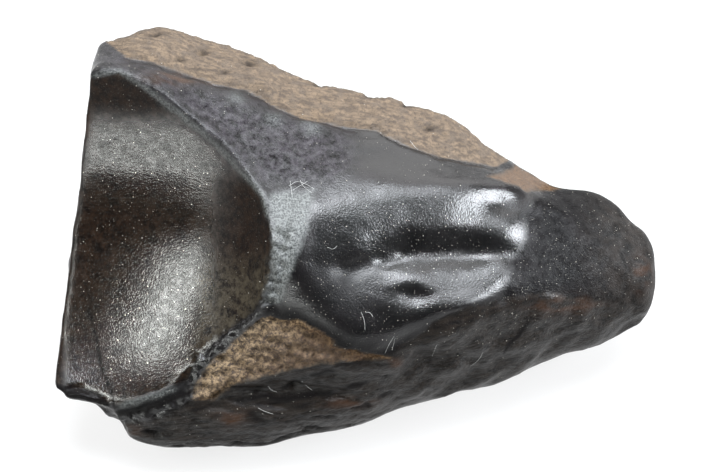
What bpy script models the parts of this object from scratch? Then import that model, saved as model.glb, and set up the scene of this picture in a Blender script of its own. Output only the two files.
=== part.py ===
"""A shed triceratops tooth, modelled in Blender. Run it with: blender --background --python part.py

The crown was worn down by chewing until the tooth fell out. At the crown end a wear facet, scooped and
polished, meets the enamel at a cutting edge. The rest tapers to the blunt stub of the root.

The tooth is modelled standing in its broad plane, in millimetres: "along" runs from the crown end to the
root tip, "up" crosses the broad side and "out" points away from it. At the end it is laid down on the small
flat spot that it rests on, with +Z up and in metres.
"""

import math

import bmesh
import bpy
import numpy as np
from mathutils import Matrix, Vector, noise

MM = 0.001

# How the tooth lies: its broad side looks up and towards -Y, at this angle above the horizon.
LIE_ANGLE = math.radians(55)
REST_SPOT_DEPTH = 0.45

# Sizes of the modelling steps.
SKIN_VOXEL = 0.2
FACES_LEFT = 9600

# How far the folds wander from the paths given for them.
WARP = 0.3
WARP_SIZE = 1.6

# Cross-sections of the unworn body, by distance along the tooth. Each is a ring of (up, out) points: top edge,
# edge of the bare dentine, upper flank, crest, first fold, valley, second fold, crease, lower flank, bottom
# edge, lower back, beside the carina, carina, upper back.
SECTIONS = {
    -9.85: ((7.75, 0.6), (7.3, 1.9), (7.0, 2.5), (6.5, 3.1), (3.0, 2.8), (0.0, 2.4), (-2.5, 2.0), (-5.0, 1.4),
            (-6.1, 0.6), (-6.5, 0.0), (-6.1, -0.6), (-4.0, -0.9), (-0.8, -1.1), (5.0, -0.2)),
    -8.0: ((8.3, -0.4), (7.1, 2.0), (6.6, 2.7), (5.9, 3.3), (3.0, 3.6), (0.4, 3.5), (-2.0, 3.2), (-5.6, 1.7),
           (-6.9, 0.9), (-8.2, -0.3), (-7.5, -1.8), (-4.6, -3.4), (-1.2, -4.3), (5.0, -2.6)),
    -6.0: ((7.95, -1.1), (6.35, 1.6), (5.4, 2.5), (4.2, 3.25), (2.2, 3.7), (0.0, 3.7), (-2.0, 3.4), (-4.9, 1.65),
           (-6.6, 0.95), (-8.4, -0.4), (-7.5, -2.8), (-4.7, -4.7), (-1.4, -6.1), (4.9, -4.0)),
    -4.0: ((7.3, -1.0), (5.75, 1.3), (4.2, 2.5), (2.3, 3.6), (0.7, 3.85), (-0.5, 3.8), (-1.6, 3.6), (-3.3, 2.85),
           (-5.9, 1.65), (-8.45, -0.5), (-7.4, -3.2), (-4.6, -5.5), (-1.6, -7.0), (4.5, -4.6)),
    -2.0: ((6.35, -1.0), (4.85, 1.2), (3.6, 2.4), (2.0, 3.5), (0.6, 4.0), (-0.8, 4.05), (-2.2, 4.0), (-4.1, 3.2),
           (-6.0, 1.7), (-8.05, -0.9), (-7.0, -3.5), (-4.4, -5.6), (-1.6, -7.1), (4.0, -4.7)),
    0.0: ((5.85, -1.0), (4.5, 0.9), (3.2, 2.0), (2.05, 3.05), (0.5, 3.6), (-1.3, 3.65), (-3.6, 3.75), (-4.55, 3.2),
          (-6.0, 1.4), (-7.65, -1.0), (-6.5, -3.6), (-4.2, -5.5), (-1.6, -6.9), (3.5, -4.6)),
    2.0: ((5.4, -1.15), (3.9, 0.6), (2.9, 1.6), (1.9, 2.5), (0.55, 2.95), (-0.8, 2.95), (-2.1, 3.4), (-3.9, 3.2),
          (-5.5, 1.1), (-6.85, -1.2), (-6.0, -3.8), (-3.9, -5.5), (-1.6, -6.7), (3.1, -4.5)),
    4.0: ((4.75, -1.3), (3.1, 0.3), (2.5, 1.1), (1.9, 1.85), (0.55, 2.3), (-0.85, 2.3), (-2.7, 3.0), (-3.3, 2.7),
          (-5.0, 0.7), (-6.35, -1.4), (-5.7, -4.0), (-3.7, -5.4), (-1.6, -6.5), (2.7, -4.4)),
    6.0: ((3.2, -1.65), (2.7, -0.5), (2.4, 0.2), (1.9, 0.9), (0.9, 1.3), (-0.5, 1.75), (-1.9, 2.0), (-2.7, 1.8),
          (-4.5, 0.2), (-5.75, -1.8), (-5.2, -4.2), (-3.4, -5.4), (-1.6, -6.3), (1.7, -4.5)),
    8.0: ((2.0, -2.0), (1.7, -1.2), (1.4, -0.5), (1.0, 0.0), (0.1, 0.45), (-0.75, 0.65), (-1.75, 0.8), (-2.6, 0.65),
          (-3.9, -0.4), (-4.85, -2.3), (-4.6, -4.4), (-3.1, -5.5), (-1.6, -6.1), (0.7, -4.6)),
    10.0: ((1.55, -2.6), (1.5, -1.9), (0.9, -1.3), (0.5, -0.9), (-0.2, -0.5), (-0.9, -0.3), (-1.7, -0.25),
           (-2.5, -0.4), (-3.5, -1.2), (-4.35, -2.8), (-4.1, -4.4), (-2.9, -5.3), (-1.6, -5.7), (0.4, -4.6)),
    11.3: ((0.45, -2.9), (0.4, -2.3), (0.25, -1.9), (-0.05, -1.6), (-0.5, -1.3), (-1.0, -1.15), (-1.6, -1.1),
           (-2.3, -1.2), (-3.1, -1.8), (-3.7, -2.9), (-3.4, -4.0), (-2.6, -4.7), (-1.6, -5.0), (0.1, -4.2)),
}
TIP_LENGTH = 0.85
CROWN_ROUND = 0.45
CROWN_SHRINK = 0.07
CROWN_RINGS = 5
CROWN_LEAN = 0.117
LEAN_TOP = 7.8
RINGS = 130
TIP_RINGS = 10
PER_SPAN = 8

# The wear facet: a bowl that cuts everything further out than it.
FACET_FLOOR = -0.3
FACET_ALONG = ((-13.5, -0.3), (-11.5, 0.0), (-9.5, 0.4), (-7.5, 1.0), (-6.0, 1.65), (-5.0, 2.28), (-4.3, 2.95),
               (-3.7, 3.75), (-3.3, 4.5), (-1.6, 8.0))
FACET_UP = ((-9.0, 2.2), (-7.5, 1.3), (-6.0, 0.65), (-4.0, 0.15), (-1.5, 0.0), (0.5, 0.19), (2.1, 0.68),
            (2.6, 0.88), (3.0, 1.09), (4.2, 1.75), (5.2, 2.36), (6.7, 3.34), (9.0, 4.9))

# Ridges and grooves of the broad side: height, half width, then the path as (along, up).
FOLDS = (
    # The rim of the wear facet, above and then beside it.
    (0.15, 0.35, ((-10.3, 6.4), (-9.4, 6.7), (-8.2, 5.8), (-6.6, 4.6), (-5.6, 3.8), (-4.6, 2.8), (-3.6, 1.6))),
    (0.18, 0.3, ((-3.4, 1.4), (-3.2, -0.4), (-3.4, -2.2), (-3.8, -3.0), (-4.9, -3.8), (-6.0, -4.8))),
    # The hollow between that rim and the bare dentine of the top.
    (-0.08, 0.5, ((-8.0, 6.5), (-6.6, 5.5), (-5.2, 4.4), (-3.8, 2.9))),
    (-0.15, 0.25, ((-9.2, 7.1), (-7.0, 6.6), (-4.6, 5.9), (-2.0, 4.8), (0.8, 4.1))),
    # The two folds of the glossy middle, and the valley between them.
    (-0.15, 0.5, ((-0.2, -1.3), (0.8, -0.8), (2.1, -0.4), (3.9, -0.5), (5.3, -0.6), (6.4, -0.8))),
    (0.08, 0.45, ((3.2, -2.5), (4.2, -2.8), (5.3, -2.6), (6.1, -1.9))),
    # The crease above the lower flank.
    (-0.14, 0.35, ((-1.6, -4.3), (-0.6, -4.5), (0.6, -4.8), (1.8, -4.3), (3.4, -3.4), (4.7, -3.1), (6.0, -2.4))),
    # Diagonal folds of the lower flank.
    (0.06, 0.5, ((1.6, -5.2), (3.2, -4.5), (5.0, -3.6), (6.6, -3.0), (8.0, -2.7))),
    (-0.12, 0.4, ((2.2, -5.3), (3.6, -4.8), (5.2, -4.4), (6.6, -3.7))),
    (0.12, 0.45, ((2.6, -6.1), (4.2, -5.3), (5.8, -4.6), (7.4, -3.8), (9.0, -3.2))),
    # The long trough below the lower patch of bare dentine.
    (-0.25, 0.35, ((-5.4, -6.5), (-3.9, -6.4), (-2.6, -6.6), (-0.6, -6.4))),
    (0.2, 0.4, ((-5.6, -7.4), (-3.6, -7.3), (-1.4, -7.0), (1.0, -6.4))),
    # Faint ridges that run down to the tip.
    (0.12, 0.25, ((7.4, 1.4), (8.6, 0.6), (10.2, -0.6), (11.2, -1.6))),
    (0.1, 0.25, ((8.6, 1.5), (9.8, 0.9), (10.9, 0.2))),
)

# Swellings and hollows of the broad side: height, the two radii, the turn in degrees, the place.
DABS = (
    (0.4, 1.0, 1.3, 0, (-2.6, -0.4)),
    (-0.25, 1.0, 0.6, 0, (-2.4, 2.1)),
    (-0.12, 0.9, 0.35, 5, (5.9, 1.5)),
    (0.1, 0.9, 0.6, 10, (6.2, 0.3)),
    (-0.15, 0.9, 0.35, 0, (2.5, -2.5)),
    (0.12, 0.4, 0.3, 0, (-3.6, 6.0)),
    (0.12, 0.35, 0.3, 0, (-3.2, 4.6)),
    (0.12, 0.4, 0.3, 0, (-1.7, 4.4)),
    (-0.2, 0.8, 0.3, 10, (-3.1, -6.1)),
    (-0.2, 0.6, 0.3, 20, (-1.6, -5.9)),
    (-0.2, 0.5, 0.35, 30, (2.9, -4.9)),
    (-0.2, 0.5, 0.3, 30, (4.6, -4.9)),
    (-0.15, 0.4, 0.3, 30, (5.8, -5.0)),
    (0.15, 0.5, 0.5, 0, (1.2, 4.6)),
    (-0.15, 0.5, 0.4, 0, (3.4, 3.9)),
)

# Ridges of enamel on the back, on each side of the carina: height, half width, path as (along, up).
BACK_RIDGES = (
    (0.35, 0.5, ((-11.0, -1.0), (-7.0, -1.3), (-2.0, -1.6), (4.0, -1.6), (9.0, -1.6))),
    (0.2, 0.4, ((-10.4, 2.4), (-7.0, 2.3), (-2.0, 2.0), (3.0, 1.4))),
    (0.15, 0.35, ((-10.2, 5.0), (-7.0, 5.0), (-2.0, 4.2), (2.0, 3.2))),
    (0.2, 0.4, ((-11.4, -4.2), (-7.0, -4.8), (-2.0, -4.6), (3.0, -4.0))),
)

# Bites out of the outline: centre as (along, up, out) and the radii of the lump that is taken away.
CHIPS = (
    ((-11.0, -7.3, 0.2), (1.5, 0.75, 1.6)),
    ((-11.95, -6.6, 0.2), (0.5, 0.5, 1.6)),
    ((-9.6, -7.9, 0.0), (0.55, 0.75, 1.6)),
    ((-8.6, -8.6, 0.5), (0.5, 0.7, 0.9)),
    ((-5.9, -8.9, 0.0), (0.5, 0.5, 1.0)),
    ((-10.9, 4.9, -0.4), (0.5, 0.35, 1.2)),
    ((-11.9, 3.6, -0.6), (0.5, 0.6, 1.2)),
    ((-2.2, 7.3, -0.6), (0.5, 0.6, 1.2)),
)


def hermite(stations, values, x):
    """A smooth curve through values at stations, read at x. Values may be arrays."""
    slopes = np.gradient(values, stations, axis=0)
    i = int(np.clip(np.searchsorted(stations, x) - 1, 0, len(stations) - 2))
    width = stations[i + 1] - stations[i]
    t = (x - stations[i]) / width
    return (
        values[i] * (2 * t**3 - 3 * t**2 + 1)
        + slopes[i] * width * (t**3 - 2 * t**2 + t)
        + values[i + 1] * (3 * t**2 - 2 * t**3)
        + slopes[i + 1] * width * (t**3 - t**2)
    )


def closed_ring(corners):
    """A closed smooth ring through the corners of a section."""
    points = []
    count = len(corners)
    for i in range(count):
        before, here = corners[i - 1], corners[i]
        after, last = corners[(i + 1) % count], corners[(i + 2) % count]
        for step in range(PER_SPAN):
            t = step / PER_SPAN
            points.append(
                here * (2 * t**3 - 3 * t**2 + 1)
                + (after - before) / 2 * (t**3 - 2 * t**2 + t)
                + after * (3 * t**2 - 2 * t**3)
                + (last - here) / 2 * (t**3 - t**2)
            )
    return np.array(points)


def loft_rings():
    """Every ring of the body from the crown end to the tip, as (along, up, out) points."""
    stations = np.array(sorted(SECTIONS))
    corners = np.array([SECTIONS[s] for s in stations])
    rings = []
    for along in np.linspace(stations[0], stations[-1], RINGS):
        ring = closed_ring(hermite(stations, corners, along))
        lean = CROWN_LEAN * max(0.0, along / stations[0]) ** 5
        shift = along - lean * (LEAN_TOP - ring[:, 0])
        rings.append(np.column_stack([shift, ring]))
    first, last = rings[0], rings[-1]
    centre = first.mean(axis=0)
    for k in range(1, CROWN_RINGS):
        turn = math.pi / 2 * k / (CROWN_RINGS - 1)
        ring = centre + (first - centre) * (1 - CROWN_SHRINK * (1 - math.cos(turn)))
        ring[:, 0] = first[:, 0] - CROWN_ROUND * math.sin(turn)
        rings.insert(0, ring)
    centre = last.mean(axis=0)
    for k in range(1, TIP_RINGS):
        turn = math.pi / 2 * k / TIP_RINGS
        ring = centre + (last - centre) * math.cos(turn)
        ring[:, 0] = stations[-1] + TIP_LENGTH * math.sin(turn)
        rings.append(ring)
    return rings


def new_object(name, bm, collection):
    mesh = bpy.data.meshes.new(name)
    bm.to_mesh(mesh)
    bm.free()
    made = bpy.data.objects.new(name, mesh)
    collection.objects.link(made)
    return made


def body_loft(collection):
    """The unworn tooth, one closed skin over all the rings."""
    bm = bmesh.new()
    loops = [[bm.verts.new(p) for p in ring] for ring in loft_rings()]
    for one, other in zip(loops, loops[1:]):
        for i in range(len(one)):
            j = (i + 1) % len(one)
            bm.faces.new((one[i], one[j], other[j], other[i]))
    bm.faces.new(loops[0])
    bm.faces.new(loops[-1])
    bmesh.ops.recalc_face_normals(bm, faces=bm.faces)
    return new_object("shed_tooth", bm, collection)


def bake(obj):
    """Replaces the mesh of an object with what its modifiers make of it."""
    graph = bpy.context.evaluated_depsgraph_get()
    made = bpy.data.meshes.new_from_object(obj.evaluated_get(graph))
    obj.modifiers.clear()
    obj.data = made


def step(t):
    t = np.clip(t, 0, 1)
    return t * t * (3 - 2 * t)


def path_distance(points, path):
    """Distance from each (along, up) point to a path."""
    nearest = np.full(len(points), 1e9)
    for a, b in zip(np.array(path), np.array(path)[1:]):
        t = np.clip((points - a) @ (b - a) / ((b - a) @ (b - a)), 0, 1)
        nearest = np.minimum(nearest, np.linalg.norm(points - a - t[:, None] * (b - a), axis=1))
    return nearest


def lumps(points, size, seed):
    """Smooth noise between about -1 and 1, one value for each point."""
    offset = Vector((seed * 7.3, seed * 3.1, seed * 5.7))
    return np.array([noise.noise(Vector(p) / size + offset) for p in points])


def sculpt(obj):
    """Moves the skin in and out along its normals by every fold, dab and lump."""
    mesh = obj.data
    count = len(mesh.vertices)
    points = np.empty(count * 3)
    normals = np.empty(count * 3)
    mesh.vertices.foreach_get("co", points)
    mesh.vertices.foreach_get("normal", normals)
    points, normals = points.reshape(-1, 3), normals.reshape(-1, 3)
    warp = np.column_stack([lumps(points, WARP_SIZE, 3), lumps(points, WARP_SIZE, 4)])
    flat = points[:, :2] + WARP * warp
    front = step((normals[:, 2] + 0.1) / 0.5)
    back = step((-normals[:, 2] - 0.05) / 0.4)
    move = np.zeros(count)
    for height, width, path in FOLDS:
        move += front * height * np.exp(-((path_distance(flat, path) / width) ** 2))
    for height, across, over, turn, place in DABS:
        c, s = math.cos(math.radians(turn)), math.sin(math.radians(turn))
        away = flat - np.array(place)
        reach = ((away @ (c, s)) / across) ** 2 + ((away @ (-s, c)) / over) ** 2
        move += front * height * np.exp(-reach)
    for height, width, path in BACK_RIDGES:
        move += back * height * np.exp(-((path_distance(flat, path) / width) ** 2))
    # The glossy front is smoother than the back.
    move += (0.1 - 0.04 * front) * lumps(points, 2.2, 1) + (0.06 - 0.045 * front) * lumps(points, 0.9, 2)
    mesh.vertices.foreach_set("co", (points + normals * move[:, None]).ravel())
    mesh.update()


def facet_bowl(collection):
    """The cutter of the wear facet: a bowl below, a flat top well clear of the tooth."""
    length, height = np.array(FACET_ALONG).T, np.array(FACET_UP).T
    bm = bmesh.new()
    rows = []
    for along in np.linspace(-13.5, -1.6, 60):
        row = []
        for up in np.linspace(-9.0, 9.0, 80):
            out = FACET_FLOOR + hermite(*length, along) + hermite(*height, up)
            row.append(bm.verts.new((along, up, out)))
        rows.append(row)
    for one, other in zip(rows, rows[1:]):
        for i in range(len(one) - 1):
            bm.faces.new((one[i], one[i + 1], other[i + 1], other[i]))
    raised = bmesh.ops.extrude_face_region(bm, geom=bm.faces[:])
    for item in raised["geom"]:
        if isinstance(item, bmesh.types.BMVert):
            item.co.z = 12
    bmesh.ops.recalc_face_normals(bm, faces=bm.faces)
    return new_object("wear_facet_cutter", bm, collection)


def chip_lump(index, centre, radii, collection):
    """The cutter of one chip: an ellipsoid with a faintly uneven skin."""
    bm = bmesh.new()
    bmesh.ops.create_icosphere(bm, subdivisions=4, radius=1)
    for vertex in bm.verts:
        uneven = 1 + 0.12 * noise.noise(vertex.co * 2 + Vector((index, 0, 0)))
        vertex.co = Vector(centre) + Vector(radii) * uneven * vertex.co
    return new_object(f"chip_cutter_{index + 1}", bm, collection)


def cut(obj, cutters):
    for cutter in cutters:
        modifier = obj.modifiers.new(cutter.name, "BOOLEAN")
        modifier.operation = "DIFFERENCE"
        modifier.solver = "EXACT"
        modifier.object = cutter
    bake(obj)


def keep_largest_body(bm):
    """Removes any crumb that the cuts left beside the tooth."""
    left = set(bm.verts)
    bodies = []
    while left:
        body, edge = set(), [left.pop()]
        while edge:
            vertex = edge.pop()
            body.add(vertex)
            near = {e.other_vert(vertex) for e in vertex.link_edges} & left
            left -= near
            edge.extend(near)
        bodies.append(body)
    bodies.sort(key=len)
    for crumb in bodies[:-1]:
        bmesh.ops.delete(bm, geom=list(crumb), context="VERTS")


def lay_down(obj):
    """Turns the tooth to how it lies, cuts the flat spot that it rests on and moves it onto the floor."""
    turn = Matrix(
        (
            (1, 0, 0),
            (0, math.sin(LIE_ANGLE), -math.cos(LIE_ANGLE)),
            (0, math.cos(LIE_ANGLE), math.sin(LIE_ANGLE)),
        )
    ).to_4x4()
    bm = bmesh.new()
    bm.from_mesh(obj.data)
    keep_largest_body(bm)
    bm.transform(turn)
    floor = min(v.co.z for v in bm.verts) + REST_SPOT_DEPTH
    plane = Vector((0, 0, floor))
    whole = bm.verts[:] + bm.edges[:] + bm.faces[:]
    made = bmesh.ops.bisect_plane(bm, geom=whole, plane_co=plane, plane_no=(0, 0, -1), clear_outer=True)
    rim = [e for e in made["geom_cut"] if isinstance(e, bmesh.types.BMEdge)]
    bmesh.ops.contextual_create(bm, geom=rim)
    low = Vector([min(v.co[i] for v in bm.verts) for i in range(3)])
    high = Vector([max(v.co[i] for v in bm.verts) for i in range(3)])
    middle = (low + high) / 2
    shift = Vector((-middle.x, -middle.y, -floor))
    bmesh.ops.translate(bm, verts=bm.verts, vec=shift)
    bm.transform(Matrix.Scale(MM, 4))
    bmesh.ops.triangulate(bm, faces=bm.faces)
    bm.to_mesh(obj.data)
    bm.free()
    # Where the middle of the broad side's plane now is: the origin of the (along, up, out) numbers above.
    obj["broad_side_origin"] = shift * MM


def enamel():
    material = bpy.data.materials.new("dark_enamel")
    material.use_nodes = True
    shader = material.node_tree.nodes["Principled BSDF"]
    shader.inputs["Base Color"].default_value = (0.03, 0.026, 0.026, 1)
    shader.inputs["Roughness"].default_value = 0.3
    return material


def main():
    for old in list(bpy.data.objects):
        bpy.data.objects.remove(old)
    object_set = bpy.data.collections.new("triceratops_shed_tooth")
    cutter_set = bpy.data.collections.new("cutters")
    for made in (object_set, cutter_set):
        bpy.context.scene.collection.children.link(made)
    tooth = body_loft(object_set)
    skin = tooth.modifiers.new("Skin", "REMESH")
    skin.mode = "VOXEL"
    skin.voxel_size = SKIN_VOXEL
    bake(tooth)
    sculpt(tooth)
    cutters = [facet_bowl(cutter_set)]
    cutters += [chip_lump(i, *chip, cutter_set) for i, chip in enumerate(CHIPS)]
    cut(tooth, cutters)
    for cutter in cutters:
        cutter.hide_render = True
        cutter.display_type = "WIRE"
    thin = tooth.modifiers.new("Facets", "DECIMATE")
    thin.ratio = FACES_LEFT / sum(len(f.vertices) - 2 for f in tooth.data.polygons)
    bake(tooth)
    lay_down(tooth)
    tooth.data.materials.clear()
    tooth.data.materials.append(enamel())


main()
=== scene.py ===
# %% [markdown]
# A shed triceratops tooth
#
# The real thing is a worn tooth crown, about 24 mm long, turned to stone. Its enamel is nearly black and
# glossy. Tan, porous dentine is laid bare along the top and below the wear facet. The solid model gives the
# size, the place and the main forms. This script gives it a fine skin and its colours, and the dust and
# lint that lie on it in the photograph.

import math

import bmesh
import bpy
import numpy as np
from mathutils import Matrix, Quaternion, Vector, noise
from mathutils.bvhtree import BVHTree


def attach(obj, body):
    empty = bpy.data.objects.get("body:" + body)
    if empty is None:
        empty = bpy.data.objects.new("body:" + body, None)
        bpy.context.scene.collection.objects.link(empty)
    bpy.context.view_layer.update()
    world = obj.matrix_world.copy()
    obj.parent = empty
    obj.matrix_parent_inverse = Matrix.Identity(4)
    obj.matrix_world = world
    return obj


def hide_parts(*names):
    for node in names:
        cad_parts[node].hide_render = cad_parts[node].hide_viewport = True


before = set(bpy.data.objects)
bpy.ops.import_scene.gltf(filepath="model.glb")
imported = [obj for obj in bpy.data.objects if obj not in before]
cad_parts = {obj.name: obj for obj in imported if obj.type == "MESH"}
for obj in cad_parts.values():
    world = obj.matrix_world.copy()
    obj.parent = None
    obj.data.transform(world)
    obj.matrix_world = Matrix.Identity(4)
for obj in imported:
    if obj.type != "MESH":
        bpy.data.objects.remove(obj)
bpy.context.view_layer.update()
MM = 0.001

# %% [markdown]
# The camera
#
# The photograph was taken from in front and above with a long lens, so lines hardly converge. The tooth's
# broad side faces the lens square on. A place on it is easiest to give as a place in the photograph, so
# the camera comes first, with a function that says where each point of the tooth lands in the picture.

# %% The camera
PICTURE = (708, 472)
PIXEL = 0.04 * MM
LENS = 400
SENSOR = 36
VIEW_RISE = math.radians(55)
BROAD_SIDE_AT = Vector((-0.1032, -0.2506, 6.9659)) * MM

view_back = Vector((0, -math.cos(VIEW_RISE), math.sin(VIEW_RISE)))
view_up = Vector((0, math.sin(VIEW_RISE), math.cos(VIEW_RISE)))
view_distance = LENS * PICTURE[0] * PIXEL / SENSOR

camera = bpy.data.objects.new("camera", bpy.data.cameras.new("camera"))
camera.data.lens = LENS
camera.data.sensor_width = SENSOR
camera.data.clip_start = 0.01
camera.data.clip_end = 10
camera.location = BROAD_SIDE_AT + view_back * view_distance
camera.rotation_mode = "QUATERNION"
camera.rotation_quaternion = (-view_back).to_track_quat("-Z", "Y")
bpy.context.scene.collection.objects.link(camera)
bpy.context.scene.camera = camera
print("camera is", round(view_distance, 3), "m away")


# %% Where a point lands in the picture
def in_picture(points):
    """The picture position, in pixels of the photograph, of each point in metres."""
    away = points - np.array(camera.location)
    depth = -(away @ np.array(view_back))
    scale = view_distance / depth / PIXEL
    return np.column_stack([PICTURE[0] / 2 + away[:, 0] * scale,
                            PICTURE[1] / 2 - (away @ np.array(view_up)) * scale])


def picture_ray(pixel):
    """The direction from the camera through a pixel of the photograph."""
    right = (pixel[0] - PICTURE[0] / 2) * PIXEL
    up = (PICTURE[1] / 2 - pixel[1]) * PIXEL
    return (Vector((right, 0, 0)) + view_up * up - view_back * view_distance).normalized()


print("the broad side's middle lands at", in_picture(np.array([BROAD_SIDE_AT]))[0].round(1))

# %% [markdown]
# The skin
#
# The solid is made of under 10,000 flat triangles, too few for pits and wrinkles. Subdividing them would keep
# their corners. A voxel remesh of a copy lays an even, fine net instead, and some smoothing takes the corners
# away. The net is fine enough to carve into, and stays under 200,000 triangles.

# %% A fine net over the solid
SKIN_VOXEL = 0.112 * MM
MERGE_REACH = 0.002 * MM


def new_piece(name, mesh):
    """A new object that shows the mesh, put in the scene."""
    piece = bpy.data.objects.new(name, mesh)
    bpy.context.scene.collection.objects.link(piece)
    return piece


def mesh_of(bm, name):
    """A mesh with what the bmesh holds. The bmesh is freed."""
    mesh = bpy.data.meshes.new(name)
    bm.to_mesh(mesh)
    bm.free()
    return mesh


def merged_copy(node, name):
    """A copy of a node of the solid with its loose triangles joined up."""
    bm = bmesh.new()
    bm.from_mesh(node.data)
    bmesh.ops.remove_doubles(bm, verts=bm.verts, dist=MERGE_REACH)
    return new_piece(name, mesh_of(bm, name))


def bake(piece):
    """The piece's mesh becomes what its modifiers make of it."""
    graph = bpy.context.evaluated_depsgraph_get()
    mesh = bpy.data.meshes.new_from_object(piece.evaluated_get(graph))
    piece.modifiers.clear()
    piece.data = mesh


skin = merged_copy(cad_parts["shed_tooth"], "tooth_skin")
net = skin.modifiers.new("fine net", "REMESH")
net.mode = "VOXEL"
net.voxel_size = SKIN_VOXEL
bake(skin)
count = len(skin.data.vertices)
print("skin:", count, "vertices,", len(skin.data.polygons), "faces")

# %% [markdown]
# All vertices are read and moved at once as numpy arrays, because a Python loop over so many would be slow.
# Smoothing needs each vertex's neighbours, and the ends of the edges give them.

# %% Reading and moving the skin
ends = np.empty(len(skin.data.edges) * 2, int)
skin.data.edges.foreach_get("vertices", ends)
ends = ends.reshape(-1, 2)
links = np.bincount(ends.ravel(), minlength=count)


def read(attribute):
    """The vertices' places ("co") or normals ("normal"), one row each."""
    values = np.empty(count * 3)
    skin.data.vertices.foreach_get(attribute, values)
    return values.reshape(-1, 3)


def place(points):
    """Moves the vertices to these places."""
    skin.data.vertices.foreach_set("co", points.ravel())
    skin.data.update()


def neighbour_mean(values):
    """The mean over each vertex's neighbours of a value or a point."""
    values = values.reshape(count, -1)
    total = np.column_stack([
        np.bincount(ends[:, 0], values[ends[:, 1], k], count)
        + np.bincount(ends[:, 1], values[ends[:, 0], k], count)
        for k in range(values.shape[1])
    ])
    return total / links[:, None]


print("edges:", len(ends), "- a vertex has", round(float(links.mean()), 1), "neighbours")

# %% [markdown]
# Ways to say where
#
# A mark on the tooth is a path, a spot or an outline in the picture, and each of these functions turns one
# into a value for every vertex. The values run softly from 0 to 1, because no border on a fossil is sharp.


# %% Paths, spots and outlines
def step(t):
    """A soft step from 0 to 1."""
    t = np.clip(t, 0, 1)
    return t * t * (3 - 2 * t)


def rising(values, start, reach):
    """0 up to the start, then a soft rise to 1 over the reach."""
    return step((values - start) / reach)


def falling(values, start, reach):
    """1 far below the start, and a soft fall to 0 as the values come up to it."""
    return step((start - values) / reach)


def path_distance(spots, path):
    """Distance from each spot to a path, in pixels."""
    nearest = np.full(len(spots), 1e9)
    for a, b in zip(np.array(path, float), np.array(path, float)[1:]):
        t = np.clip((spots - a) @ (b - a) / ((b - a) @ (b - a)), 0, 1)
        nearest = np.minimum(nearest, np.linalg.norm(spots - a - t[:, None] * (b - a), axis=1))
    return nearest


def inside(spots, outline):
    """Distance in pixels to an outline, positive inside it."""
    corners = np.array(outline, float)
    crossings = np.zeros(len(spots), int)
    for a, b in zip(corners, np.roll(corners, -1, axis=0)):
        spans = (a[1] > spots[:, 1]) != (b[1] > spots[:, 1])
        rise = b[1] - a[1] if b[1] != a[1] else 1e-9
        at = a[0] + (spots[:, 1] - a[1]) * (b[0] - a[0]) / rise
        crossings += spans & (spots[:, 0] < at)
    distance = path_distance(spots, np.vstack([corners, corners[:1]]))
    return np.where(crossings % 2 == 1, distance, -distance)


def by_path(spots, half_width, path):
    """1 on a path, and less beside it."""
    return np.exp(-((path_distance(spots, path) / half_width) ** 2))


def by_spot(spots, wide, high, centre):
    """1 at a centre, and less around it. Wide and high are half widths in pixels."""
    away = (spots - np.array(centre)) / (wide, high)
    return np.exp(-(away**2).sum(axis=1))


def in_outline(spots, outline, softness, lead=0.5):
    """0 outside an outline and 1 inside it. A lead of a half puts the middle of the border on the line."""
    return step(inside(spots, outline) / softness + lead)


def clouds(points, size, seed, octaves=3):
    """Smooth noise from about -1 to 1, one value for each point."""
    offset = Vector((seed * 17.3, seed * 5.1, seed * 9.7))
    return np.array([noise.fractal(Vector(p) / size + offset, 1.0, 2.0, octaves) for p in points])


print("a quarter of the way up, the soft step is at", step(0.25))

# %% [markdown]
# Smoothing
#
# Plain smoothing shrinks a shape. Each round here pulls every vertex towards its neighbours and then pushes
# it part of the way back. The rim of the wear facet is kept crisp. The bowl inside it gets many more rounds,
# because a glossy hollow shows every trace of the flat triangles.

# %% Smoothing away the flat triangles
SMOOTH_ROUNDS = 17
CALM_ROUNDS = 54
PULL = 0.6
PUSH = 0.35
RIM_KEPT = 0.75
RIM = ((95, 76), (120, 71), (150, 93), (190, 123), (215, 143), (240, 168), (263, 196), (270, 215),
       (272, 250), (268, 290), (260, 309), (232, 330), (202, 354), (186, 382), (172, 387), (115, 408),
       (60, 386), (60, 340), (72, 220), (80, 150), (95, 76))


def relax(points, rounds, strength):
    """The points after some rounds of pulling and pushing. A strength of 0 leaves a vertex where it is."""
    for _ in range(rounds):
        points = points + PULL * strength * (neighbour_mean(points) - points)
        points = points - PUSH * strength * (neighbour_mean(points) - points)
    return points


near_rim = by_path(in_picture(read("co")), 8, RIM)
place(relax(read("co"), SMOOTH_ROUNDS, (1 - RIM_KEPT * near_rim)[:, None]))
calm = rising(inside(in_picture(read("co")), RIM[:-1]), 8, 12) * (read("normal") @ np.array(view_back) > 0)
place(relax(read("co"), CALM_ROUNDS, calm[:, None]))
print("calm share of the skin:", round(float(calm.mean()), 2))

# %% [markdown]
# Every later step asks the same things of a vertex: where it lands in the picture, and how far it faces the
# lens. Both are worked out once. The wandering places are shifted a little by smooth noise, because a
# fossil has no line drawn with a ruler.

# %% What the carving and the colours ask of each vertex
points = read("co")
normals = read("normal")
spots = in_picture(points)
facing = normals @ np.array(view_back)
topward = normals @ np.array(view_up)
front = rising(facing, -0.05, 0.3)
wander = np.column_stack([clouds(points, 0.9 * MM, 1), clouds(points, 0.9 * MM, 2)])
wandering = spots + 3 * wander
rough_spots = spots + 4 * wander
print("front share of the skin:", round(float((facing > 0).mean()), 2))

# %% [markdown]
# Carving
#
# A ridge or a groove is a path in the picture with a height in millimetres and a half width in pixels. A
# swelling or a dimple is a spot. Each moves the skin along its normal. Sculpting by hand would do the same,
# but a list of named strokes can be read and changed.

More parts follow.
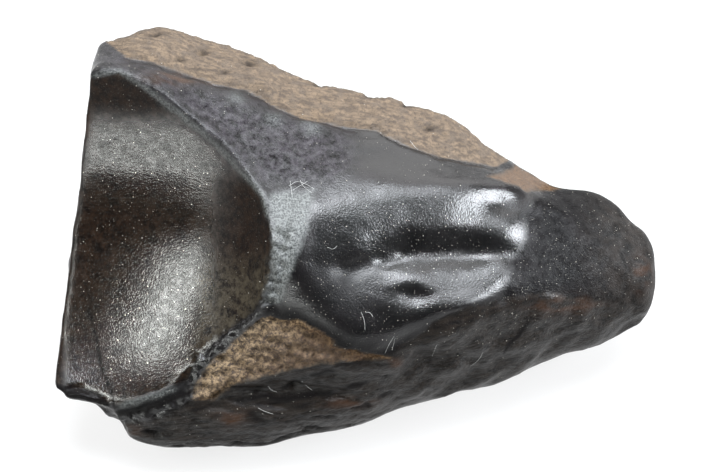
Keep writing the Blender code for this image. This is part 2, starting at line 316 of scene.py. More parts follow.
# %% Ridges and grooves of the broad side
RIDGES = (
    # The bright thin lip above the wear facet, and the finer folds beside it.
    (0.03, 4.0, ((97, 76), (120, 69), (150, 91), (190, 121), (215, 141), (240, 166), (262, 192))),
    (0.03, 3.0, ((128, 67), (150, 79), (178, 96), (200, 111))),
    (0.025, 3.0, ((150, 74), (175, 86), (205, 101))),
    # The upper edge of the pale strip beside the facet.
    (0.03, 4.0, ((274, 190), (292, 188), (312, 187))),
    # The lip at the foot of the wear facet, and the groove under it.
    (0.07, 4.0, ((116, 404), (138, 400), (160, 392), (180, 383))),
    (-0.09, 3.5, ((116, 413), (145, 409), (170, 399), (190, 390))),
    # Steps of the glassy fracture at the facet's lower corner.
    (-0.08, 2.5, ((66, 388), (84, 389), (104, 398))),
    (0.05, 2.5, ((68, 394), (86, 397), (104, 404))),
    # The foot of the glossy middle.
    (0.08, 5.0, ((312, 347), (330, 343), (352, 347))),
    # The soft edges of the folds of the lower flank.
    (0.06, 7.0, ((415, 388), (450, 368), (480, 345), (520, 325), (560, 316))),
    (-0.07, 6.0, ((420, 380), (452, 358), (478, 336), (505, 320))),
    (0.05, 6.0, ((396, 372), (430, 346), (466, 322), (500, 306))),
    # Faint ridges that run down over the tip.
    (0.05, 10.0, ((545, 190), (556, 204), (566, 225))),
    (0.04, 8.0, ((594, 200), (610, 220), (622, 250), (628, 280))),
    (0.05, 7.0, ((612, 203), (630, 227), (638, 250))),
    # The far end of the valley, and its floor.
    (-0.04, 9.0, ((468, 247), (500, 251), (522, 254))),
    (-0.07, 9.0, ((345, 272), (375, 262), (400, 256))),
    (-0.08, 9.0, ((385, 263), (410, 259), (450, 256), (480, 256))),
    # The slope above the valley eases off towards the upper flank, and the one below towards the crease.
    (0.06, 16.0, ((392, 190), (430, 188), (470, 188))),
    (0.06, 12.0, ((430, 326), (462, 314), (495, 304), (515, 296))),
    # The edge of the bare dentine along the top.
    (-0.1, 3.0, ((125, 56), (150, 61), (180, 71), (215, 83), (250, 91), (275, 106), (305, 118), (345, 126),
                 (375, 131), (410, 146), (440, 156), (470, 161), (492, 167))),
)
move = np.zeros(count)
for height, half_width, path in RIDGES:
    move += front * height * MM * by_path(wandering, half_width, path)
print("ridges and grooves:", len(RIDGES))

# %% Swellings, dimples and pits
DABS = (
    # Swellings of the upper flank.
    (0.08, 9, 7, (265, 85)),
    (0.08, 8, 7, (275, 120)),
    (0.08, 10, 6, (312, 127)),
    # The deep pits of the lower flank.
    (-0.2, 9, 5, (296, 387)),
    (-0.16, 11, 5, (330, 376)),
    (-0.1, 10, 4, (314, 388)),
    (-0.16, 16, 4, (275, 405)),
    (-0.14, 16, 4, (340, 397)),
    # Its soft dimples further along.
    (-0.12, 10, 6, (424, 356)),
    (-0.1, 12, 6, (452, 342)),
    (-0.12, 9, 6, (468, 358)),
    (-0.14, 16, 5, (440, 382)),
    (-0.1, 12, 5, (492, 338)),
    (-0.08, 9, 5, (478, 374)),
    (-0.08, 10, 6, (560, 330)),
    (-0.07, 12, 6, (600, 318)),
    # The two hollows of the glossy middle.
    (-0.05, 24, 12, (502, 206)),
    (-0.07, 22, 9, (414, 294)),
    # The valley is shallow at its near end.
    (0.09, 36, 15, (360, 254)),
)
# The small pits of the bare dentine along the top: the two half widths, then the place.
TOP_PITS = (
    (7, 4, (372, 93)),
    (5, 3, (300, 65)),
    (9, 2.5, (158, 33)),
    (6, 2.5, (205, 50)),
    (8, 3.5, (250, 61)),
    (6, 3, (430, 128)),
    (7, 3, (288, 66)),
    (8, 3, (319, 81)),
    (6, 3, (408, 103)),
    (5, 2, (182, 58)),
    (5, 2, (225, 70)),
)
TOP_PIT_DEPTH = 0.13 * MM
for height, wide, high, centre in DABS:
    move += front * height * MM * by_spot(wandering, wide, high, centre)
top_pits = sum(by_spot(wandering, *pit) for pit in TOP_PITS) * (facing > -0.5)
move -= TOP_PIT_DEPTH * top_pits
print("swellings and dimples:", len(DABS), "- carved up to", round(float(np.abs(move).max()) / MM, 2), "mm")

# %% [markdown]
# The zones
#
# The tooth has no separate parts, only zones that differ in gloss, colour and grain. Each is an outline in
# the picture, which counts only where the skin faces the lens, so that the hidden side keeps its own look.

# %% Their outlines, in pixels of the photograph
FACET = ((97, 78), (120, 72), (150, 94), (190, 124), (215, 144), (240, 169), (262, 196), (268, 215),
         (272, 250), (266, 290), (258, 309), (232, 328), (202, 352), (186, 380), (172, 385), (115, 405),
         (60, 384), (40, 380), (50, 200), (80, 80))
TOP_DENTINE = ((107, 42), (125, 55), (150, 60), (180, 70), (215, 82), (250, 90), (275, 105), (305, 117),
               (345, 125), (375, 130), (410, 145), (440, 155), (470, 160), (497, 166), (530, 150), (400, 60),
               (150, 0), (110, 10))
TOP_DENTINE_END = ((488, 178), (520, 163), (540, 165), (560, 190), (535, 190))
LOW_DENTINE = ((190, 400), (196, 378), (215, 358), (237, 338), (262, 318), (300, 320), (335, 340), (352, 352),
               (380, 355), (392, 358), (375, 362), (345, 362), (300, 368), (250, 380), (210, 400))
PALE_STRIP = ((269, 194), (292, 192), (315, 191), (313, 212), (307, 233), (298, 254), (290, 278), (280, 304),
              (262, 308), (266, 282), (272, 250), (271, 215))
ETCHED = ((100, 45), (130, 60), (200, 84), (270, 108), (345, 132), (352, 160), (335, 186), (268, 190),
          (240, 164), (190, 118), (140, 84), (100, 70))
TIP = ((546, 190), (600, 150), (700, 150), (700, 360), (540, 360), (508, 300), (518, 262), (529, 240),
       (529, 215))
FRACTURE = ((52, 383), (62, 386), (80, 387), (98, 392), (108, 402), (113, 412), (95, 416), (50, 400))
LOWER_FLANK = ((190, 402), (250, 380), (300, 368), (345, 362), (392, 352), (440, 318), (500, 298), (540, 292),
               (600, 300), (650, 310), (640, 420), (110, 480), (106, 420), (150, 422))
print("facet share:", round(float((inside(spots, FACET) > 0).mean()), 3))

# %% The zones, as values from 0 to 1
in_facet = front * in_outline(spots, FACET, 2)
pale_strip_and_highlights = front * in_outline(rough_spots, PALE_STRIP, 9, 0.4)
top_dentine = in_outline(spots + wander, TOP_DENTINE, 2) * rising(topward, -0.3, 0.2)
top_dentine *= rising(facing, -0.45, 0.2)
end_dentine = front * in_outline(rough_spots, TOP_DENTINE_END, 6)
low_dentine = front * in_outline(rough_spots, LOW_DENTINE, 3) * (1 - in_facet)
lower_flank = front * in_outline(rough_spots, LOWER_FLANK, 4)
etched = front * in_outline(rough_spots, ETCHED, 42) * (1 - in_facet)
fracture = front * in_outline(spots, FRACTURE, 2)
dentine = np.maximum(np.maximum(top_dentine, end_dentine), low_dentine)
back = falling(facing, 0.1, 0.4) * (1 - dentine)
worn_tip = np.maximum(in_outline(rough_spots, TIP, 26), 0.9 * back)
# The worn tip pales towards its right end; this paling is partly wear and partly painted sheen.
tip_wear_and_sheen = np.maximum(worn_tip * rising(spots[:, 0], 560, 70), 0.9 * back)
print("dentine share:", round(float(dentine.mean()), 3), "back share:", round(float(back.mean()), 3))

# %% [markdown]
# The grain of each zone
#
# Enamel is finely wavy. Bare dentine is a sponge of tiny pores, drawn out along the tooth like the grain of
# wood. The lower flank is fibrous too, with deep pits, and a crumbly black border runs along the facet.
# Smooth noise makes all of them. Squeezing the points along one direction first draws the noise out.

# %% The noises
GRAIN_TURN = math.radians(-12)
FOLD_TURN = math.radians(35)


def along_grain(stretch, turn=GRAIN_TURN):
    """The skin's points squeezed along one direction, so that noise on them draws out along it."""
    c, s = math.cos(turn), math.sin(turn)
    squeezed = points.copy()
    squeezed[:, 0] = (points[:, 0] * c + points[:, 2] * s) / stretch
    squeezed[:, 2] = -points[:, 0] * s + points[:, 2] * c
    return squeezed


fibres = clouds(along_grain(6), 0.28 * MM, 5)
pores = clouds(points, 0.26 * MM, 6)
waves = clouds(points, 0.8 * MM, 7)
pits = np.clip(clouds(along_grain(2.5), 0.5 * MM, 8) - 0.25, 0, 1)
folds = clouds(along_grain(2, FOLD_TURN), 1.2 * MM, 9, 2)
undulation = clouds(along_grain(3), 1.1 * MM, 10)
grit = clouds(points, 0.4 * MM, 11)
print("share of the skin with a pit:", round(float((pits > 0).mean()), 2))

# %% Pores, fibres, pits and crumbs
CRUMB_BORDER = ((262, 306), (250, 320), (235, 331), (218, 344), (203, 358), (194, 378), (190, 396),
                (180, 405), (155, 415), (122, 420))
LUMP_STRIP = ((284, 232), (280, 255), (272, 280), (268, 300))
crumbs = front * by_path(spots, 6, CRUMB_BORDER)
strip_lumps = front * by_path(spots, 9, LUMP_STRIP)
flank_left = front * falling(spots[:, 0], 430, 80)
enamel = (1 - dentine) * (1 - lower_flank) * (1 - in_facet)
bare_flank = lower_flank * (1 - dentine)
move += MM * dentine * (0.05 * fibres + 0.05 * pores - 0.05)
move += MM * low_dentine * (0.08 * np.minimum(pores, 0.1) + 0.18 * grit)
move += MM * bare_flank * (0.014 * fibres + 0.04 * waves + 0.2 * (1 - flank_left) * folds)
move += MM * bare_flank * flank_left * (0.035 * fibres - 0.25 * pits)
move += MM * enamel * ((0.01 + 0.02 * etched) * waves + 0.02 * (1 - etched) * undulation)
move += MM * back * (0.035 * fibres + 0.03 * waves + 0.02 * pores - 0.15 * pits**2)
move += MM * crumbs * (0.15 * pores + 0.02)
move += MM * strip_lumps * 0.3 * pores
place(points + normals * move[:, None])
print("the skin moved by", round(float(np.abs(move).mean()) / MM, 3), "mm on average")

# %% [markdown]
# Values that the finish reads
#
# One material covers the whole tooth, because its zones run into each other. It finds out where it is from
# values that are kept on the vertices, as an attribute each. Other ways are a painted mask, which would need
# an image, or a material for each zone, which would leave hard borders.


# %% The zones, kept on the skin
def keep_value(name, values):
    """One number for each vertex, kept on the skin under a name."""
    layer = skin.data.attributes.new(name, "FLOAT", "POINT")
    layer.data.foreach_set("value", np.asarray(values, np.float32))


keep_value("facet", in_facet)
keep_value("dentine", dentine)
keep_value("ochre", low_dentine)
keep_value("rust", np.maximum(low_dentine * rising(spots[:, 0] + spots[:, 1], 560, 120), 0.8 * end_dentine))
keep_value("flank", lower_flank)
keep_value("crumbs", crumbs)
keep_value("etched", etched * (1 - pale_strip_and_highlights))
keep_value("fracture", fracture)
keep_value("worn_tip", worn_tip)
keep_value("tip_wear_and_sheen", tip_wear_and_sheen)
keep_value("olive", in_facet * rising(rough_spots[:, 0], 175, 50) * rising(rough_spots[:, 1], 240, 50))
print("values on the skin so far:", len(skin.data.attributes))

# %% [markdown]
# The pale strip is frosted enamel, with a painted highlight laid into its pale colour. The same pale colour
# is painted on the lips around the wear facet and on a few swellings of the upper flank, as painted
# highlights. The dull value marks where the gloss is worn off: the top and the right of the facet, and the
# edges that were rubbed.

# %% Frosty places, painted highlights and dull places
# The lip at the facet's foot and spots on the upper flank's swellings, where pale colour is painted as
# highlight.
LIP = ((122, 404), (148, 398), (174, 388))
BLOB_HIGHLIGHTS = ((9, 7, (265, 85)), (8, 7, (275, 120)), (10, 6, (312, 127)), (7, 6, (236, 96)),
              (9, 5, (205, 62)))
DULL_EDGES = (
    (6, RIM[-5:]),
    (8, ((118, 410), (150, 404), (182, 390))),
    (8, ((195, 408), (240, 408), (300, 404))),
    (10, ((270, 310), (300, 319), (330, 334), (354, 350), (392, 352))),
    (9, ((392, 352), (436, 326), (500, 304), (530, 298))),
)
DULL_SPOT = (28, 24, (340, 284))
# On the lips and swellings the pale colour is a painted highlight; on the strip it is frosted enamel with
# painted highlight in it.
lip_highlight = front * np.maximum(by_path(wandering, 2.8, RIM[:8]), by_path(wandering, 3, LIP))
blob_highlights = np.clip(sum(by_spot(rough_spots, *blob) for blob in BLOB_HIGHLIGHTS), 0, 1)
keep_value("pale_strip_and_highlights", np.maximum(np.maximum(pale_strip_and_highlights, 0.7 * lip_highlight), 0.5 * blob_highlights))

dull = in_facet * falling(rough_spots[:, 1], 134, 34)
dull = np.maximum(dull, in_facet * rising(rough_spots[:, 0], 192, 55) * rising(rough_spots[:, 1], 155, 35))
for half_width, path in DULL_EDGES:
    dull = np.maximum(dull, by_path(wandering, half_width, path))
dull = np.maximum(dull, 0.85 * by_spot(rough_spots, *DULL_SPOT))
keep_value("dull", front * dull)
print("dull share of the front:", round(float((front * dull).sum() / front.sum()), 2))

# %% [markdown]
# Cracks, the fracture and the crumbly border along the facet are dark in their own right. The pits and
# grooves that the carving sank are painted dark as well, as painted shade in the hollows. All of them have
# hardly any gloss. Rusty stains of iron lie in the low places, broken up by the fibres.

# %% Cracks, painted shade in the hollows, and stains
CRACKS_AND_SHADED_HOLLOWS = (
    (1.9, ((90, 312), (93, 328), (99, 345), (101, 362), (108, 382), (111, 396), (115, 410))),
    (1.9, ((528, 322), (520, 333), (508, 346), (503, 354))),
    # The pits and the trough of the lower flank, painted dark as shade in the hollows.
    (3.5, ((238, 401), (262, 397), (290, 398), (330, 392))),
    (3.5, ((284, 388), (300, 384))),
    (3.0, ((317, 377), (334, 373))),
    (2.5, ((345, 388), (366, 383))),
    # The groove under the facet's lip, painted dark as shade.
    (2.6, ((114, 415), (145, 411), (170, 401), (192, 391))),
)
RED_STAINS = ((26, 5, (355, 404)), (12, 8, (232, 418)), (8, 5, (395, 362)), (34, 8, (565, 305)),
              (9, 15, (642, 275)), (10, 6, (134, 428)), (30, 7, (180, 78)), (7, 16, (86, 125)))
cracks_and_shade = np.zeros(count)
for half_width, path in CRACKS_AND_SHADED_HOLLOWS:
    cracks_and_shade = np.maximum(cracks_and_shade, front * by_path(wandering, half_width, path))
# The carved pits of the top dentine and of the lower flank are painted dark too, as painted shade.
cracks_and_shade = np.maximum(cracks_and_shade, 0.75 * np.clip(top_pits, 0, 1))
cracks_and_shade = np.maximum(cracks_and_shade, 0.9 * fracture)
keep_value("cracks_and_shade", np.maximum(cracks_and_shade, lower_flank * flank_left * np.clip(2 * pits, 0, 1)))

stains = np.zeros(count)
for stain in RED_STAINS:
    stains = np.maximum(stains, by_spot(rough_spots, *stain))
keep_value("stains", front * stains * np.clip(0.6 + 1.5 * fibres, 0, 1))
print("cracks:", len(CRACKS_AND_SHADED_HOLLOWS), "stains:", len(RED_STAINS))

# %% [markdown]
# The finish of the tooth
#
# The material is a tree of nodes. A few helpers keep it short to write: one adds a node, one reads a value
# kept on the skin, some make noise, and the rest join two things into one. All noise is laid out in Object
# coordinates, so it sticks to the tooth whatever the camera does.


# %% Helpers that add nodes
def node(tree, kind, **settings):
    """A new node with its settings made."""
    made = tree.nodes.new(kind)
    for key, value in settings.items():
        setattr(made, key, value)
    return made


def value_of(tree, name):
    """A value that is kept on the skin."""
    return node(tree, "ShaderNodeAttribute", attribute_name=name).outputs["Fac"]


def spread(tree, source, low, high, to_low=0.0, to_high=1.0):
    """The source stretched so that low becomes to_low and high becomes to_high."""
    made = node(tree, "ShaderNodeMapRange")
    for name, value in zip(("From Min", "From Max", "To Min", "To Max"), (low, high, to_low, to_high)):
        made.inputs[name].default_value = value
    tree.links.new(source, made.inputs["Value"])
    return made.outputs["Result"]


def joined_by(tree, operation, one, other):
    made = node(tree, "ShaderNodeMath", operation=operation)
    tree.links.new(one, made.inputs[0])
    tree.links.new(other, made.inputs[1])
    return made.outputs["Value"]


def largest(tree, one, other):
    return joined_by(tree, "MAXIMUM", one, other)


def product(tree, one, other):
    return joined_by(tree, "MULTIPLY", one, other)


def blend(tree, share, one, other, kind="RGBA"):
    """The one where the share is 0, the other where it is 1. Each may be a number, a colour or a socket."""
    made = node(tree, "ShaderNodeMix", data_type=kind)
    suffix = {"RGBA": "Color", "FLOAT": "Float"}[kind]
    sockets = {socket.identifier: socket for socket in list(made.inputs) + list(made.outputs)}
    for name, given in (("Factor_Float", share), ("A_" + suffix, one), ("B_" + suffix, other)):
        if isinstance(given, bpy.types.NodeSocket):
            tree.links.new(given, sockets[name])
        else:
            sockets[name].default_value = given
    return sockets["Result_" + suffix]


def by_zone(tree, base, zones):
    """A number for the whole tooth, changed in each zone in turn. The last zone lies on top."""
    for share, value in zones:
        base = blend(tree, share, base, value, "FLOAT")
    return base


print("node helpers are ready")


# %% Helpers that make noise
def speckle(tree, size, detail=2.0, rough=0.6):
    """Noise over the tooth with spots of about the given size in metres."""
    made = node(tree, "ShaderNodeTexNoise")
    made.inputs["Scale"].default_value = 1 / size
    made.inputs["Detail"].default_value = detail
    made.inputs["Roughness"].default_value = rough
    tree.links.new(node(tree, "ShaderNodeTexCoord").outputs["Object"], made.inputs["Vector"])
    return made.outputs["Fac"]


def streaky(tree, size, stretch):
    """Noise drawn out along the tooth, as the fibres of the dentine are."""
    turned = node(tree, "ShaderNodeMapping")
    turned.inputs["Rotation"].default_value = (0, -GRAIN_TURN, 0)
    tree.links.new(node(tree, "ShaderNodeTexCoord").outputs["Object"], turned.inputs["Vector"])
    squeeze = node(tree, "ShaderNodeVectorMath", operation="MULTIPLY")
    squeeze.inputs[1].default_value = (1 / stretch, 1, 1)
    tree.links.new(turned.outputs["Vector"], squeeze.inputs[0])
    made = node(tree, "ShaderNodeTexNoise")
    made.inputs["Scale"].default_value = 1 / size
    made.inputs["Detail"].default_value = 3
    tree.links.new(squeeze.outputs["Vector"], made.inputs["Vector"])
    return made.outputs["Fac"]


def patterns(tree):
    """The noises of the finish by name, each spread to run from 0 to 1, apart from the plain grain."""
    return {
        "mottle": spread(tree, speckle(tree, 1.2 * MM), 0.35, 0.65),
        "blotches": spread(tree, speckle(tree, 0.5 * MM), 0.35, 0.65),
        "specks": spread(tree, speckle(tree, 0.4 * MM, 5.0, 0.85), 0.4, 0.6),
        "grit": spread(tree, speckle(tree, 0.2 * MM, 4.0, 0.8), 0.41, 0.59),
        "pores": spread(tree, speckle(tree, 0.1 * MM, 2.0, 0.7), 0.3, 0.5),
        "film": spread(tree, speckle(tree, 0.06 * MM, 1.0, 0.5), 0.56, 0.78),
        "streaks": spread(tree, streaky(tree, 0.16 * MM, 7), 0.35, 0.65),
        "hairlines": spread(tree, streaky(tree, 0.07 * MM, 5), 0.35, 0.65),
        "grain": speckle(tree, 0.075 * MM, 1.0, 0.7),
    }


print("noise helpers are ready")

# %% [markdown]
# Each material of the tooth is a pair of colours, a dark and a pale one, with a noise that goes between them.
# The zones are then laid over each other from the most common to the rarest. All the colours are dark: what
# looks grey in the photograph is mostly the studio, mirrored in black enamel.

# %% Its colours
SHADES = {
    "enamel": ((0.0012, 0.0011, 0.0013), (0.003, 0.0025, 0.0028)),
    "bloom": ((0.001, 0.0008, 0.0008), (0.026, 0.023, 0.0265)),
    "worn": ((0.0045, 0.004, 0.0037), (0.0145, 0.012, 0.0105)),
    "facet": ((0.0015, 0.0006, 0.0003), (0.011, 0.0055, 0.0028)),
    "flank": ((0.0025, 0.002, 0.0018), (0.0105, 0.008, 0.0063)),
    # Pale frosted enamel, which also serves as painted highlight.
    "frost_and_highlight": ((0.015, 0.0165, 0.0162), (0.092, 0.097, 0.094)),
    "tan": ((0.034, 0.022, 0.0128), (0.1, 0.069, 0.042)),
    "ochre": ((0.015, 0.008, 0.0035), (0.2, 0.14, 0.08)),
}
OLIVE = (0.036, 0.03, 0.02, 1)
DUSTY_FILM = (0.035, 0.033, 0.029, 1)
TAN_BLOTCH = (0.054, 0.039, 0.027, 1)
RUST = (0.05, 0.024, 0.01, 1)
PORE = (0.03, 0.019, 0.011, 1)
RED_STAIN = (0.026, 0.013, 0.0075, 1)
# The dark of the cracks, also used as painted shade in the carved pits and grooves.
CRACK_AND_SHADE = (0.004, 0.0035, 0.0035, 1)


def shade(tree, name, share):
    """From a material's dark colour to its pale one as the share goes from 0 to 1."""
    dark, pale = SHADES[name]
    return blend(tree, share, (*dark, 1), (*pale, 1))


def dentine_colour(tree, zone, pattern):
    """Tan with brown blotches and dark pores. The low patch is cream to ochre, and rusty at one end."""
    colour = shade(tree, "tan", pattern["streaks"])
    colour = blend(tree, spread(tree, pattern["blotches"], 0.5, 1, 0, 0.7), colour, TAN_BLOTCH)
    colour = blend(tree, zone["ochre"], colour, shade(tree, "ochre", pattern["grit"]))
    colour = blend(tree, spread(tree, zone["rust"], 0, 1, 0, 0.75), colour, RUST)
    return blend(tree, pattern["pores"], PORE, colour)


def facet_colour(tree, zone, pattern):
    """Dark brown, with olive specks in its lower right part."""
    olive = spread(tree, product(tree, zone["olive"], pattern["specks"]), 0, 1, 0, 0.9)
    return blend(tree, olive, shade(tree, "facet", pattern["specks"]), OLIVE)


def tooth_colour(tree, zone, pattern):
    """The colours of all the zones, laid over each other."""
    colour = blend(tree, zone["etched"], shade(tree, "enamel", pattern["mottle"]),
                   shade(tree, "bloom", pattern["specks"]))
    # The worn tip and the hidden side, paler towards the tip's right end, where the paling is partly painted
    # sheen.
    colour = blend(tree, zone["tip_wear_and_sheen"], colour, shade(tree, "worn", pattern["blotches"]))
    colour = blend(tree, zone["facet"], colour, facet_colour(tree, zone, pattern))
    colour = blend(tree, zone["flank"], colour, shade(tree, "flank", pattern["streaks"]))
    filmy = spread(tree, largest(tree, zone["etched"], zone["facet"]), 0, 1, 0.22, 0.5)
    colour = blend(tree, product(tree, pattern["film"], filmy), colour, DUSTY_FILM)
    # Frosted enamel on the strip with painted highlight in it, and painted highlights on the lips and
    # swellings.
    frost_and_highlight = shade(tree, "frost_and_highlight", spread(tree, pattern["grain"], 0.38, 0.62))
    colour = blend(tree, zone["pale_strip_and_highlights"], colour, frost_and_highlight)
    colour = blend(tree, zone["stains"], colour, RED_STAIN)
    colour = blend(tree, zone["dentine"], colour, dentine_colour(tree, zone, pattern))
    # Cracks and crumbs are dark, and the carved pits and grooves get painted shade.
    return blend(tree, largest(tree, zone["crumbs"], zone["cracks_and_shade"]), colour, CRACK_AND_SHADE)


print("shades:", ", ".join(SHADES))

# %% [markdown]
# Gloss tells the zones apart more than colour does. It has two sides: how rough the skin is, which blurs the
# mirrored lights, and how strong the mirroring is, which dust and wear take down. A fine bump stands for the
# wrinkles that are finer than the mesh.

# %% Its gloss and its fine relief
BUMP_HEIGHT = 0.07 * MM


def tooth_roughness(tree, zone):
    """Smoothest in the facet, roughest on the dentine."""
    return by_zone(tree, blend(tree, zone["etched"], 0.25, 0.45, "FLOAT"), (
        (zone["worn_tip"], 0.48),
        (zone["facet"], 0.18),
        (zone["flank"], 0.4),
        (zone["pale_strip_and_highlights"], 0.6),
        (zone["dull"], 0.5),
        (zone["dentine"], 0.8),
    ))


def tooth_shine(tree, zone, pattern):
    """How strongly each zone mirrors. Specks and hairlines break up the mirroring where the skin is worn."""
    etched_specks = speckle(tree, 0.3 * MM, 3.0, 0.7)
    return by_zone(tree, 0.5, (
        (zone["etched"], spread(tree, etched_specks, 0.35, 0.65, 0.03, 0.29)),
        (zone["facet"], spread(tree, pattern["specks"], 0, 1, 0.38, 0.64)),
        (spread(tree, zone["worn_tip"], 0, 0.45), spread(tree, pattern["specks"], 0, 1, 0.05, 0.14)),
        (zone["flank"], spread(tree, pattern["hairlines"], 0, 1, 0.1, 0.32)),
        (zone["dull"], 0.09),
        (zone["fracture"], 0.08),
        (zone["cracks_and_shade"], 0.05),
    ))


def tooth_relief(tree, zone, pattern):
    """The bumped normal. The share of the bump that each zone gets grows with its wear."""
    worn = largest(tree, zone["etched"], zone["worn_tip"])
    relief = by_zone(tree, blend(tree, worn, 0.2, 0.5, "FLOAT"), (
        (zone["flank"], 0.3),
        (zone["facet"], 0.13),
        (zone["dentine"], 1.0),
    ))
    height = blend(tree, zone["dentine"], pattern["grain"], speckle(tree, 0.13 * MM, 3.0, 0.7), "FLOAT")
    made = node(tree, "ShaderNodeBump")
    made.inputs["Distance"].default_value = BUMP_HEIGHT
    tree.links.new(product(tree, height, relief), made.inputs["Height"])
    return made.outputs["Normal"]


print("bump:", round(BUMP_HEIGHT / MM, 3), "mm high")

# %% The finish is put on
ZONES = ("facet", "dentine", "ochre", "rust", "flank", "crumbs", "etched", "fracture", "worn_tip", "tip_wear_and_sheen",
         "olive", "pale_strip_and_highlights", "dull", "cracks_and_shade", "stains")


def tooth_finish():
    """The one material of the tooth."""
    material = bpy.data.materials.new("fossil_enamel")
    material.use_nodes = True
    tree = material.node_tree
    shader = tree.nodes["Principled BSDF"]
    zone = {name: value_of(tree, name) for name in ZONES}
    pattern = patterns(tree)
    tree.links.new(tooth_colour(tree, zone, pattern), shader.inputs["Base Color"])
    tree.links.new(tooth_roughness(tree, zone), shader.inputs["Roughness"])
    tree.links.new(tooth_shine(tree, zone, pattern), shader.inputs["Specular IOR Level"])
    tree.links.new(tooth_relief(tree, zone, pattern), shader.inputs["Normal"])
    return material


skin.data.materials.clear()
skin.data.materials.append(tooth_finish())
for face in skin.data.polygons:
    face.use_smooth = True
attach(skin, "root")
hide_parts("shed_tooth")
print("the finish has", len(skin.data.materials[0].node_tree.nodes), "nodes")

# %% [markdown]
# Dust and lint
#
# Dark glossy things show every speck. The photograph has hundreds of pale grains, thickest in the hollows
# of the middle, and about twenty lint fibres. A grain is a tiny squashed ball of 20 faces, set on a vertex
# of the skin that is drawn at random. A particle system would do the same, but its grains don't last in an
# exported model.

# %% Grains of dust
GRAINS = 3000
GRAIN_RADIUS = (0.005 * MM, 0.021 * MM)
MOSTLY_SMALL = 2.5
SQUASH = (0.5, 1.3)
SUNK_IN = 0.4
DUSTY_PLACES = (((335, 275), 22), ((330, 300), 40), ((150, 300), 90), ((120, 210), 60), ((420, 250), 60),
                ((150, 120), 40), ((380, 335), 25), ((500, 290), 60), ((550, 240), 30), ((590, 260), 45))
seed_draw = np.random.default_rng(5)


def dust_chance(seen, out):
    """How likely dust is on each vertex: more where it faces up and in the dusty places of the picture."""
    chance = 0.25 * np.clip(out[:, 2] + 0.1, 0, 1)
    for centre, reach in DUSTY_PLACES:
        chance += front * by_spot(seen, reach, reach, centre)
    chance *= (1 - 0.8 * dentine) * (1 - 0.55 * in_facet)
    return chance / chance.sum()


def dust_grains():
    """All the grains as one mesh. Most are small, and each is sunk a little into the skin."""
    at, out = read("co"), read("normal")
    picked = seed_draw.choice(count, GRAINS, replace=False, p=dust_chance(in_picture(at), out))
    smallest, widest = GRAIN_RADIUS
    bm = bmesh.new()
    for i in picked:
        radius = smallest + seed_draw.random() ** MOSTLY_SMALL * (widest - smallest)
        made = bmesh.ops.create_icosphere(bm, subdivisions=1, radius=radius)
        squash = seed_draw.uniform(*SQUASH, 3)
        for vertex in made["verts"]:
            vertex.co = Vector(at[i] + out[i] * SUNK_IN * radius) + Vector(np.array(vertex.co) * squash)
    return new_piece("dust_grains", mesh_of(bm, "dust_grains"))


def plain_finish(name, colour, roughness):
    """For things so small that each has one colour."""
    material = bpy.data.materials.new(name)
    material.use_nodes = True
    shader = material.node_tree.nodes["Principled BSDF"]
    shader.inputs["Base Color"].default_value = (*colour, 1)
    shader.inputs["Roughness"].default_value = roughness
    return material


dust = dust_grains()
dust.data.materials.append(plain_finish("pale_dust", (0.25, 0.235, 0.205), 0.8))
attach(dust, "root")
print("dust:", GRAINS, "grains,", len(dust.data.polygons), "faces")

# %% [markdown]
# A fibre is a thin tube along a smooth curve. Its points are given in the picture, and a ray from the lens
# through each one finds the place on the skin, so that the fibre follows the forms of the tooth.

# %% Fibres of lint
FIBRE_RADIUS = 0.0065 * MM
LIFT_AT_ENDS = 1.2
LIFT_BETWEEN = 2.5
FIBRES = (
    ((289, 186), (297, 182), (305, 184), (314, 189)),
    ((300, 180), (304, 187), (312, 193)),
    ((293, 190), (300, 186), (308, 181)),
    ((290, 181), (291, 188), (292, 195)),
    ((432, 356), (436, 346), (441, 332)),
    ((437, 352), (445, 341)),
    ((361, 312), (364, 320), (365, 330)),
    ((365, 312), (370, 313), (373, 317)),
    ((385, 353), (389, 344), (394, 336)),
    ((392, 350), (395, 338)),
    ((327, 247), (333, 249), (337, 246)),
    ((258, 408), (264, 411), (273, 414)),
    ((268, 386), (272, 390), (277, 392)),
    ((302, 381), (307, 386), (312, 390)),
    ((410, 141), (414, 146), (418, 150)),
    ((470, 366), (477, 361), (483, 352)),
)


def add_fibre(curve, hits):
    """A spline through the points that the rays hit, lifted off the skin along its normal."""
    spline = curve.splines.new("BEZIER")
    spline.bezier_points.add(len(hits) - 1)
    for i, (point, (hit_at, hit_normal, _, _)) in enumerate(zip(spline.bezier_points, hits)):
        lift = LIFT_BETWEEN if 0 < i < len(hits) - 1 else LIFT_AT_ENDS
        point.co = hit_at + hit_normal * FIBRE_RADIUS * lift
        point.handle_left_type = point.handle_right_type = "AUTO"


def lint_fibres():
    """All the fibres as one mesh, made from one curve with a round bevel."""
    faces = [tuple(face.vertices) for face in skin.data.polygons]
    tree = BVHTree.FromPolygons([tuple(point) for point in read("co")], faces)
    curve = bpy.data.curves.new("lint_fibres", "CURVE")
    curve.dimensions = "3D"
    curve.bevel_depth = FIBRE_RADIUS
    curve.bevel_resolution = 1
    curve.resolution_u = 6
    for path in FIBRES:
        add_fibre(curve, [tree.ray_cast(camera.location, picture_ray(pixel)) for pixel in path])
    drawn = new_piece("lint_fibres", curve)
    mesh = bpy.data.meshes.new_from_object(drawn.evaluated_get(bpy.context.evaluated_depsgraph_get()))
    bpy.data.objects.remove(drawn)
    return new_piece("lint_fibres", mesh)


lint = lint_fibres()
lint.data.materials.clear()
lint.data.materials.append(plain_finish("pale_lint", (0.3, 0.3, 0.29), 0.6))
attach(lint, "root")
print("lint:", len(FIBRES), "fibres,", len(lint.data.polygons), "faces")

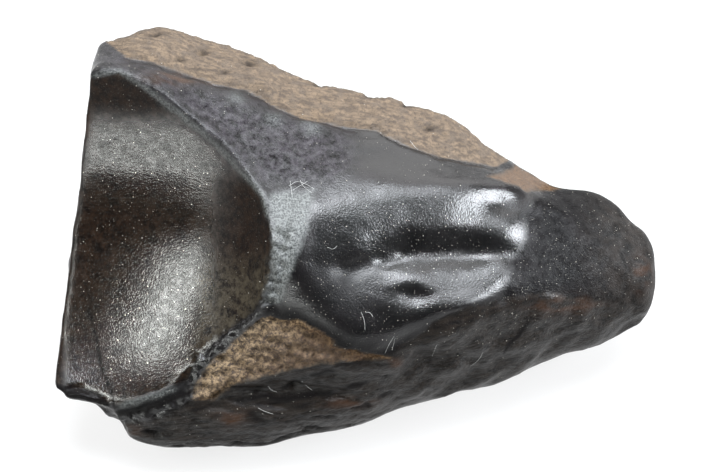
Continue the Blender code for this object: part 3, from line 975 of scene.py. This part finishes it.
# %% [markdown]
# The studio
#
# The tooth lies on a pale floor among soft boxes. Black enamel shows little but reflections: the box above
# makes the bright patches where the skin tilts up, the pale backdrop makes the grey of the upper flank and
# the floor makes the grey of the lower one. What faces the lens reflects the dark room.

# %% The floor
FLOOR_HALF = 0.35
FLOOR_COLOUR = (0.09, 0.09, 0.09, 1)
FLOOR_ROUGHNESS = 0.7
FLOOR_GLOW = 0.8


def floor_finish():
    """Mostly glow and a little colour, so that it is evenly pale and the tooth's shadow stays faint."""
    material = bpy.data.materials.new("white_table")
    material.use_nodes = True
    shader = material.node_tree.nodes["Principled BSDF"]
    shader.inputs["Base Color"].default_value = FLOOR_COLOUR
    shader.inputs["Roughness"].default_value = FLOOR_ROUGHNESS
    shader.inputs["Emission Color"].default_value = (1, 1, 1, 1)
    shader.inputs["Emission Strength"].default_value = FLOOR_GLOW
    return material


bm = bmesh.new()
bmesh.ops.create_grid(bm, x_segments=1, y_segments=1, size=FLOOR_HALF)
floor = new_piece("table", mesh_of(bm, "table"))
floor.data.materials.append(floor_finish())
print("floor is", 2 * FLOOR_HALF, "m wide")

# %% [markdown]
# A light is placed by the direction in which the tooth sees it. Its brightness is given as radiance, which
# is what a mirror shows, so a light can change size without its reflection getting brighter or darker.

# %% The lights
COOL = (0.91, 0.95, 1.0)
GREENISH = (0.97, 1.0, 0.97)
WHITE = (1, 1, 1)
LEFT_ROLL = 35
# Name, azimuth, rise, distance, width, height, radiance, colour, roll. Azimuth 0 is in front, 90 is right.
LIGHTS = (
    ("overhead_box", 180, 82, 0.4, 0.26, 0.2, 27, COOL, 0),
    ("right_high_box", 124, 57, 0.4, 0.2, 0.14, 10.5, COOL, 0),
    ("right_low_box", 88, 28, 0.4, 0.2, 0.19, 34, COOL, 0),
    ("left_box", -67, 45, 0.4, 0.035, 0.2, 38, GREENISH, LEFT_ROLL),
    ("left_low_box", -63, 27, 0.4, 0.07, 0.06, 20, GREENISH, LEFT_ROLL),
    ("low_card", -34, -0.6, 0.09, 0.08, 0.006, 20, GREENISH, 0),
    ("backdrop", 186, 30, 0.6, 1.2, 0.45, 3.2, WHITE, 0),
)
ROOM_LIGHT = 0.08


def soft_light(name, azimuth, rise, distance, width, height, radiance, colour, roll):
    """A rectangular light that looks at the tooth."""
    light = bpy.data.lights.new(name, "AREA")
    light.shape = "RECTANGLE"
    light.size = width
    light.size_y = height
    light.energy = math.pi * radiance * width * height
    light.color = colour
    made = bpy.data.objects.new(name, light)
    turn, lift = math.radians(azimuth), math.radians(rise)
    way = Vector((math.sin(turn) * math.cos(lift), -math.cos(turn) * math.cos(lift), math.sin(lift)))
    made.location = BROAD_SIDE_AT + way * distance
    made.rotation_mode = "QUATERNION"
    made.rotation_quaternion = way.to_track_quat("Z", "Y") @ Quaternion((0, 0, 1), math.radians(roll))
    bpy.context.scene.collection.objects.link(made)


for settings in LIGHTS:
    soft_light(*settings)
world = bpy.data.worlds.new("room")
world.use_nodes = True
world.node_tree.nodes["Background"].inputs["Color"].default_value = (1, 1, 1, 1)
world.node_tree.nodes["Background"].inputs["Strength"].default_value = ROOM_LIGHT
bpy.context.scene.world = world
bpy.context.scene.view_settings.view_transform = "Standard"
print("lights:", len(LIGHTS))
